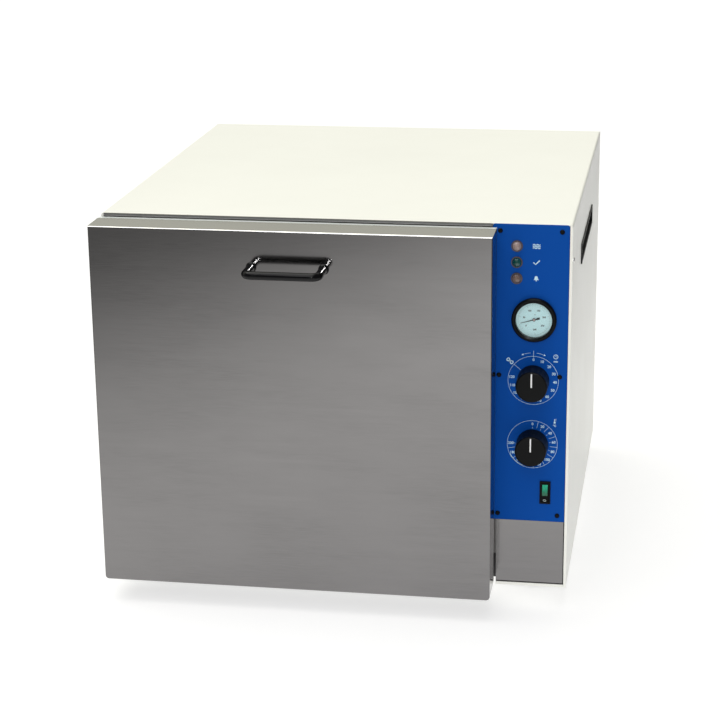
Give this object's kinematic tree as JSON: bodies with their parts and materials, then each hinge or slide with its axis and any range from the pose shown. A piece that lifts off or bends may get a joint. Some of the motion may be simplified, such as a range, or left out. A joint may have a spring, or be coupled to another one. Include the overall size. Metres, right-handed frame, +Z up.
{
  "type": "dry heat sterilizer",
  "caption": "Bench dry heat sterilizer: stainless chamber with sliding trays behind a drop-down door, timer and thermostat dials on a side panel.",
  "frame": {"origin": "on the surface it stands on, under the middle of its outer box", "axes": "+Z up, -Y towards the user in front of the door, +X to that user's right, where the control panel is"},
  "size_m": [0.5744, 0.7144, 0.485],
  "materials": {
    "cabinet_paint": "smooth cream-white enamel",
    "panel_paint": "smooth blue enamel",
    "stainless": "fine-brushed stainless sheet",
    "chamber_steel": "stainless sheet, dull",
    "zinc_steel": "zinc-coated sheet",
    "dark_steel": "black primer on steel",
    "bright_steel": "bright plated",
    "element_sheath": "heat-browned sheath",
    "ceramic": "unglazed ceramic",
    "copper_tube": "bare copper",
    "wool": "mineral wool",
    "silicone": "soft silicone",
    "foot_rubber": "moulded rubber",
    "black_plastic": "fine-grained moulding",
    "gloss_black": "gloss moulding",
    "black_bar": "black coated bar",
    "smoked_plastic": "smoked translucent moulding",
    "dial_white": "matt white dial",
    "pointer_black": "black lacquer",
    "clear_glass": "clear",
    "lens_amber": "translucent",
    "lens_green": "translucent",
    "lens_red": "translucent",
    "magnet": "sintered block in a sleeve"
  },
  "bodies": {
    "cabinet": {"outer_cover": "cabinet_paint", "base_pan": "cabinet_paint", "front_frame": "dark_steel", "front_fascia": "stainless", "control_panel": "panel_paint", "kick_plate": "stainless", "rear_panel": "cabinet_paint", "compartment_wall": "zinc_steel", "chamber_liner": "chamber_steel", "chamber_insulation": "wool", "tray_rack_left": "chamber_steel", "tray_rack_right": "chamber_steel", "tray_runners": "chamber_steel", "side_grip_left": "black_plastic", "side_grip_right": "black_plastic", "element_guard": "chamber_steel", "heating_element": "element_sheath", "element_seals": "ceramic", "element_clips": "chamber_steel", "vent_tube": "stainless", "probe_sleeve": "stainless", "bulb_clips": "stainless", "thermostat_probe": "copper_tube", "thermometer_probe": "copper_tube", "hinge_brackets": "dark_steel", "door_magnets": "magnet", "panel_screws": "gloss_black", "lamp_bodies": "smoked_plastic", "heating_lamp_lens": "lens_amber", "ready_lamp_lens": "lens_green", "alarm_lamp_lens": "lens_red", "thermometer_case": "gloss_black", "thermometer_dial": "dial_white", "thermometer_glass": "clear_glass", "timer_body": "black_plastic", "thermostat_body": "black_plastic", "switch_housing": "gloss_black", "rubber_feet": "foot_rubber", "foot_screws": "bright_steel", "sheet_screws": "bright_steel", "cord_gland": "black_plastic", "fuse_holder": "gloss_black"},
    "door": {"door_skin": "stainless", "door_inner_panel": "stainless", "door_insulation": "wool", "door_gasket": "silicone", "hinge_clevises": "dark_steel", "hinge_pins": "bright_steel", "door_strikes": "bright_steel", "door_handle": "black_bar", "handle_screws": "bright_steel"},
    "timer_dial": {"timer_knob": "black_plastic", "timer_shaft": "bright_steel"},
    "thermostat_dial": {"thermostat_knob": "black_plastic", "thermostat_shaft": "bright_steel"},
    "rocker": {"switch_rocker": "gloss_black", "switch_lens": "lens_green"},
    "pointer": {"thermometer_pointer": "pointer_black"},
    "tray_low": {"lower_tray": "chamber_steel"},
    "tray_high": {"upper_tray": "chamber_steel"}
  },
  "joints": [
    {"name": "door_hinge", "type": "hinge", "parent": "cabinet", "child": "door", "pos_m": [-0.0441, -0.2678, 0.055], "axis": [1, 0, 0], "range_deg": [0, 90]},
    {"name": "timer_turn", "type": "hinge", "parent": "cabinet", "child": "timer_dial", "pos_m": [0.2411, -0.2568, 0.2942], "axis": [0, 1, 0], "range_deg": [-50, 278]},
    {"name": "thermostat_turn", "type": "hinge", "parent": "cabinet", "child": "thermostat_dial", "pos_m": [0.2411, -0.2568, 0.2133], "axis": [0, 1, 0], "range_deg": [0, 272]},
    {"name": "rocker_tilt", "type": "hinge", "parent": "cabinet", "child": "rocker", "pos_m": [0.2575, -0.2558, 0.1521], "axis": [1, 0, 0], "range_deg": [0, 18]},
    {"name": "pointer_turn", "type": "hinge", "parent": "cabinet", "child": "pointer", "pos_m": [0.2411, -0.2568, 0.3698], "axis": [0, 1, 0], "range_deg": [-23, 282]},
    {"name": "lower_tray_slide", "type": "slide", "parent": "cabinet", "child": "tray_low", "axis": [0, -1, 0], "range_m": [0, 0.16]},
    {"name": "upper_tray_slide", "type": "slide", "parent": "cabinet", "child": "tray_high", "axis": [0, -1, 0], "range_m": [0, 0.16]}
  ],
  "couplings": [
    {"joint": "lower_tray_slide", "follows": "door_hinge", "m_per_rad": 0.1018},
    {"joint": "upper_tray_slide", "follows": "door_hinge", "m_per_rad": 0.1018}
  ]
}
